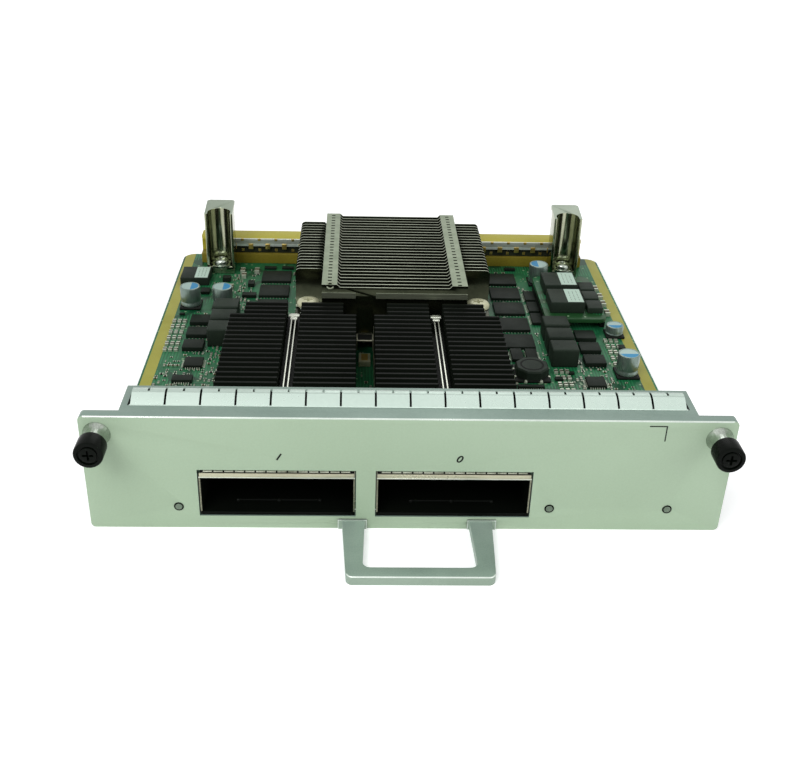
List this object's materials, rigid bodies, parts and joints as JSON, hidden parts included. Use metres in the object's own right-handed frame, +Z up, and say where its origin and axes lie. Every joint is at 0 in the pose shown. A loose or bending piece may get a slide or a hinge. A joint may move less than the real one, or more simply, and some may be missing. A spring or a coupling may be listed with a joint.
{
  "type": "switch line card",
  "caption": "Plug-in line card: front panel with two wide module ports, pull handle and thumb screws, green board with black and finned heat sinks, guide posts and rear connector beam.",
  "frame": {"origin": "centre of the footprint's box, on the surface that the card stands on", "axes": "+X along the front panel to the right seen from the front, +Y into the card away from the panel, +Z up from the board"},
  "size_m": [0.18, 0.2146, 0.0391],
  "materials": {
    "panel_paint": "satin",
    "spring_steel": "bright",
    "handle_satin": "satin",
    "bright_steel": "bright",
    "knob_black": "matte",
    "light_pipe": "gloss",
    "lamp_body": "matte",
    "board_green": "gloss",
    "cage_steel": "satin",
    "socket_black": "matte",
    "sink_black": "anodised",
    "fin_aluminium": "satin",
    "screw_cream": "satin",
    "chip_black": "matte",
    "lid_nickel": "satin",
    "beam_yellow": "satin",
    "rail_grey": "satin",
    "contact_gold": "bright",
    "guide_chrome": "mirror",
    "base_black": "matte",
    "can_aluminium": "satin",
    "ferrite": "matte",
    "passive_tan": "matte"
  },
  "bodies": {
    "card": {"front_panel": "panel_paint", "emi_finger_strip": "spring_steel", "left_port_gasket": "spring_steel", "right_port_gasket": "spring_steel", "heat_sink_clips": "spring_steel", "pull_handle": "handle_satin", "handle_screws": "bright_steel", "left_screw_ferrule": "bright_steel", "left_screw_spring": "bright_steel", "right_screw_ferrule": "bright_steel", "right_screw_spring": "bright_steel", "board_screws": "bright_steel", "guide_screws": "bright_steel", "guide_washers": "bright_steel", "guide_nuts": "bright_steel", "heat_sink_studs": "bright_steel", "heat_sink_springs": "bright_steel", "backing_plate": "bright_steel", "light_pipes": "light_pipe", "status_lamps": "lamp_body", "main_board": "board_green", "power_riser_board": "board_green", "left_port_cage": "cage_steel", "right_port_cage": "cage_steel", "cage_tie": "cage_steel", "left_port_connector": "socket_black", "right_port_connector": "socket_black", "signal_block": "socket_black", "left_port_heat_sink": "sink_black", "right_port_heat_sink": "sink_black", "fin_stack": "fin_aluminium", "fin_stack_base": "fin_aluminium", "heat_sink_screws": "screw_cream", "main_processor": "chip_black", "memory_chips": "chip_black", "logic_chips": "chip_black", "power_stages": "chip_black", "processor_lid": "lid_nickel", "rear_beam": "beam_yellow", "backplane_modules": "beam_yellow", "ground_rail": "rail_grey", "ground_lugs": "contact_gold", "left_guide": "guide_chrome", "right_guide": "guide_chrome", "component_bases": "base_black", "riser_headers": "base_black", "capacitors": "can_aluminium", "block_inductors": "ferrite", "round_inductor": "ferrite", "riser_power_modules": "ferrite", "power_brick": "ferrite", "riser_components": "ferrite", "board_passives": "passive_tan"},
    "left_screw_carrier": {"left_retaining_ring": "bright_steel"},
    "left_screw": {"left_thumb_knob": "knob_black", "left_screw_shaft": "bright_steel"},
    "right_screw_carrier": {"right_retaining_ring": "bright_steel"},
    "right_screw": {"right_thumb_knob": "knob_black", "right_screw_shaft": "bright_steel"}
  },
  "joints": [
    {"name": "left_screw_push", "type": "slide", "parent": "card", "child": "left_screw_carrier", "axis": [0, 1, 0], "range_m": [0, 0.0032], "stiffness_N_per_m": 250, "springref_m": -0.002, "deforming": ["left_screw_spring"]},
    {"name": "left_screw_turn", "type": "hinge", "parent": "left_screw_carrier", "child": "left_screw", "pos_m": [-0.0853, -0.0823, 0.0312], "axis": [0, 1, 0], "continuous": true},
    {"name": "right_screw_push", "type": "slide", "parent": "card", "child": "right_screw_carrier", "axis": [0, 1, 0], "range_m": [0, 0.0032], "stiffness_N_per_m": 250, "springref_m": -0.002, "deforming": ["right_screw_spring"]},
    {"name": "right_screw_turn", "type": "hinge", "parent": "right_screw_carrier", "child": "right_screw", "pos_m": [0.0853, -0.0823, 0.0312], "axis": [0, 1, 0], "continuous": true}
  ]
}
